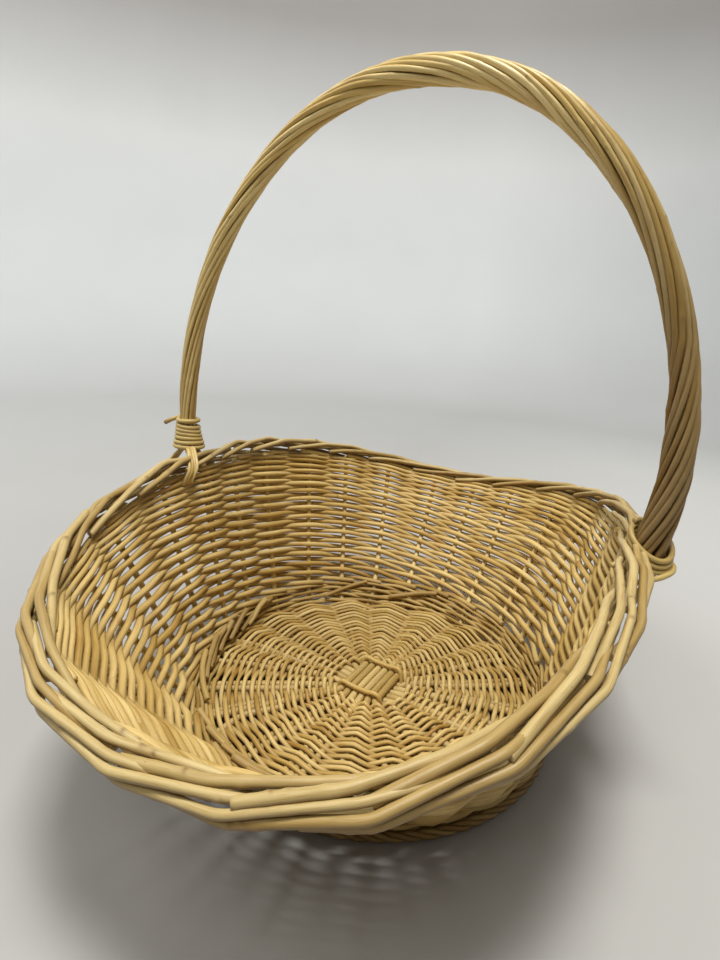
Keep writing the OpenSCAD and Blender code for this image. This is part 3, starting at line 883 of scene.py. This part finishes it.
def lash_left():
    """One strand in seven turns, the top one apart, with its cut end sticking out."""
    rods = Rods()
    turn = np.linspace(0, 7, 7 * 26)
    height = np.interp(turn, [0, 5.6, 6.3, 7], [163.5, 180.5, 184.5, 185.5])
    t = 180 - np.degrees(np.arcsin(((height - ARCH_FOOT) / ARCH_RISE) ** (1 / ARCH_POWER)))
    centre = arch(t)
    r = np.interp(turn, [0, 1, 3, 6, 7], [10.8, 10.2, 8.6, 7.4, 7.3])
    a = -2 * np.pi * turn + 2.6
    wobble = 0.35 * np.sin(3 * a + 1.0) + 0.25 * np.sin(2 * a)
    r = r + wobble
    path = centre + np.stack([r * np.cos(a), 0.92 * r * np.sin(a), 0.5 * np.sin(a + turn)], -1)
    stub_out = path[-1] + np.array([[-3.0, -2.0, 0.0], [-8.0, -4.5, -2.2], [-13.5, -6.0, -5.2]])
    path = smooth_path(np.vstack([path[::2], stub_out]), 1.0)
    dark = np.interp(np.arange(len(path)), [0, len(path) - 8, len(path) - 1], [0, 0, 0.6])
    rods.add(path, STRAND_R, 10, tone=0.35, dark=dark, wear=0.04)
    return rods


lash_left().build("lashing_left", "lashing_left", "lashing_willow", LASHING)


def lash_right():
    """A strand looped three times round the handle's foot and led to the front, and its short other end."""
    rods = Rods()
    turn = np.linspace(0, 3.02, 90)
    a = np.pi - 2 * np.pi * turn
    x, y = 11.6 * np.cos(a), 10.6 * np.sin(a)
    wobble = 0.5 * np.sin(2 * a + 0.7 * turn)
    loops = np.stack([160.6 + x, y, 163.8 - 3.6 * turn - 0.45 * x + 0.5 * y + wobble], -1)
    long_end = [
        [149.5, 4, 158.5], [161.0, 12.5, 152.5], [172.8, 3, 149.8], [174.0, -4, 147.5],
        [168.5, -13.0, 146.2], [161.0, -19.5, 144.8], [152.5, -24.5, 142.5],
    ]
    rods.add(smooth_path(np.vstack([loops[2::2], long_end]), 1.1), STRAND_R, 10, tone=0.45, wear=0.04)
    short_end = [[158.0, -3.0, 151.0], [150.5, -7.0, 150.5], [146.5, -9.5, 148.5], [142.5, -11.5, 146.0]]
    rods.add(smooth_path(short_end, 1.1), STRAND_R, 10, tone=0.5, wear=0.04)
    return rods


lash_right().build("lashing_right", "lashing_right", "lashing_willow", LASHING)


# ---------------------------------------------------------------- floor, light, camera
# The sweep is in metres: a flat floor, a bend and an upright wall.
FLOOR_REACH, FLOOR_BEND, WALL_REACH, WALL_TOP = 1.35, 0.45, 1.8, 1.9
SECTORS = 96
# Its greys outward from the middle, each at a part of SHADE_REACH, with painted light and shade: the floor
# darker near the middle, a bright band low on the wall and darker above it.
SHADE_REACH = 2.6
SHADES = [
    (0.08, (0.41, 0.405, 0.39)), (0.2, (0.48, 0.48, 0.47)), (0.5, (0.57, 0.58, 0.575)),
    (0.62, (0.68, 0.70, 0.70)), (0.71, (0.85, 0.88, 0.89)), (0.745, (0.84, 0.86, 0.86)),
    (0.765, (0.70, 0.71, 0.71)), (0.81, (0.45, 0.44, 0.43)), (0.9, (0.38, 0.37, 0.36)),
]


def sweep_mesh():
    """A round floor whose edge turns up into a wall, left low and wide towards the front."""
    profile = [(0.0, 0.0), (0.5, 0.0), (1.0, 0.0), (FLOOR_REACH, 0.0)]
    for a in range(10, 91, 10):
        t = math.radians(a)
        profile.append((FLOOR_REACH + FLOOR_BEND * math.sin(t), FLOOR_BEND - FLOOR_BEND * math.cos(t)))
    profile += [(WALL_REACH, 1.0), (WALL_REACH, WALL_TOP)]
    verts, faces = [(0, 0, 0)], []
    for r, z in profile[1:]:
        for k in range(SECTORS):
            a = 2 * math.pi * k / SECTORS
            front = max(0.0, -math.sin(a - math.radians(22)))
            wide = r * (1 + 0.8 * front)
            verts.append((wide * math.cos(a), wide * math.sin(a), z * (1 - front) ** 2))
    for k in range(SECTORS):
        faces.append((0, 1 + k, 1 + (k + 1) % SECTORS))
    for row in range(len(profile) - 2):
        for k in range(SECTORS):
            a, b = 1 + row * SECTORS + k, 1 + row * SECTORS + (k + 1) % SECTORS
            faces.append((a, a + SECTORS, b + SECTORS, b))
    mesh = bpy.data.meshes.new("sweep")
    mesh.from_pydata(verts, [], faces)
    mesh.shade_smooth()
    return mesh


def sweep_material():
    """Pale grey, with painted light and shade by the distance from the middle and across from left to
    right.
    """
    material = bpy.data.materials.new("pale_sweep")
    material.use_nodes = True
    tree = material.node_tree
    link = tree.links.new
    shader = tree.nodes["Principled BSDF"]
    place = tree.nodes.new("ShaderNodeTexCoord")
    away = tree.nodes.new("ShaderNodeVectorMath")
    away.operation = "LENGTH"
    link(place.outputs["Object"], away.inputs[0])
    sides = tree.nodes.new("ShaderNodeSeparateXYZ")
    link(place.outputs["Object"], sides.inputs[0])

    def mapped(value, from_low, from_high, to_low=0.0, to_high=1.0):
        made = tree.nodes.new("ShaderNodeMapRange")
        made.inputs["From Min"].default_value = from_low
        made.inputs["From Max"].default_value = from_high
        made.inputs["To Min"].default_value = to_low
        made.inputs["To Max"].default_value = to_high
        link(value, made.inputs["Value"])
        return made.outputs[0]

    def ramped(value, stops):
        made = tree.nodes.new("ShaderNodeValToRGB")
        set_stops(made.color_ramp, stops)
        link(value, made.inputs[0])
        return made.outputs[0]

    shade = ramped(mapped(away.outputs["Value"], 0.0, SHADE_REACH), SHADES)
    mottle = tree.nodes.new("ShaderNodeTexNoise")
    mottle.inputs["Scale"].default_value = 6.0
    link(place.outputs["Object"], mottle.inputs["Vector"])
    patches = ramped(mottle.outputs["Fac"], [(0.0, (0.95, 0.95, 0.95)), (1.0, (1, 1, 1))])
    # Painted light: the floor gets lighter to the right, the wall behind it darker.
    painted_side_light = tree.nodes.new("ShaderNodeMix")
    painted_side_light.data_type = "FLOAT"
    link(mapped(away.outputs["Value"], 0.9, 1.7), painted_side_light.inputs[0])
    link(mapped(sides.outputs["X"], -0.2, 0.25, 0.93, 1.16), painted_side_light.inputs[2])
    link(mapped(sides.outputs["X"], -0.35, 0.6, 0.95, 0.62), painted_side_light.inputs[3])
    scaled = tree.nodes.new("ShaderNodeVectorMath")
    scaled.operation = "SCALE"
    link(shade, scaled.inputs[0])
    link(painted_side_light.outputs[0], scaled.inputs["Scale"])
    blend = tree.nodes.new("ShaderNodeMix")
    blend.data_type = "RGBA"
    blend.blend_type = "MULTIPLY"
    blend.inputs[0].default_value = 1.0
    link(scaled.outputs[0], blend.inputs[6])
    link(patches, blend.inputs[7])
    link(blend.outputs[2], shader.inputs["Base Color"])
    shader.inputs["Roughness"].default_value = 0.7
    shader.inputs["Specular IOR Level"].default_value = 0.2
    return material


def studio():
    """A pale floor that sweeps up behind the basket."""
    mesh = sweep_mesh()
    mesh.materials.append(sweep_material())
    floor = bpy.data.objects.new("sweep", mesh)
    bpy.context.scene.collection.objects.link(floor)


def area_light(name, place, target, size, power, colour):
    data = bpy.data.lights.new(name, "AREA")
    data.shape = "RECTANGLE"
    data.size, data.size_y = size
    data.energy = power
    data.color = colour
    lamp = bpy.data.objects.new(name, data)
    bpy.context.scene.collection.objects.link(lamp)
    lamp.location = place
    lamp.rotation_euler = (Vector(target) - Vector(place)).to_track_quat("-Z", "Y").to_euler()


studio()
area_light("key", (0.1, -0.25, 2.3), (0, 0, 0.1), (0.6, 0.6), 50, (1.0, 0.985, 0.955))
area_light("front_soft", (0.1, -1.2, 2.0), (0, 0.1, 0.1), (1.2, 0.8), 10, (1.0, 0.99, 0.97))
area_light("left_soft", (-1.1, -0.3, 1.4), (0, 0, 0.25), (0.8, 0.8), 7, (0.985, 0.99, 1.0))
world = bpy.data.worlds.new("room")
bpy.context.scene.world = world
world.use_nodes = True
sky = world.node_tree.nodes["Background"]
sky.inputs["Color"].default_value = (0.88, 0.81, 0.70, 1)
sky.inputs["Strength"].default_value = 0.18

# The camera: where it stands, where it looks, and how it is tilted about its own axis.
CAMERA_X, CAMERA_Y, CAMERA_Z = 0.1257, -0.3568, 0.2803
AZIMUTH, PITCH, ROLL = (math.radians(a) for a in (22.292, 16.813, 4.299))
SENSOR, LENS = 36, 22.2975
look = Vector((
    -math.sin(AZIMUTH) * math.cos(PITCH),
    math.cos(AZIMUTH) * math.cos(PITCH),
    -math.sin(PITCH),
))
level = Vector((math.cos(AZIMUTH), math.sin(AZIMUTH), 0))
above = level.cross(look)
across = level * math.cos(ROLL) + above * math.sin(ROLL)
upward = above * math.cos(ROLL) - level * math.sin(ROLL)
camera_data = bpy.data.cameras.new("camera")
camera_data.sensor_width = SENSOR
camera_data.lens = LENS
camera_data.clip_start = 0.01
camera = bpy.data.objects.new("camera", camera_data)
bpy.context.scene.collection.objects.link(camera)
camera.matrix_world = Matrix((
    (across.x, upward.x, -look.x, CAMERA_X),
    (across.y, upward.y, -look.y, CAMERA_Y),
    (across.z, upward.z, -look.z, CAMERA_Z),
    (0, 0, 0, 1),
))
bpy.context.scene.camera = camera
bpy.context.scene.view_settings.view_transform = "Standard"
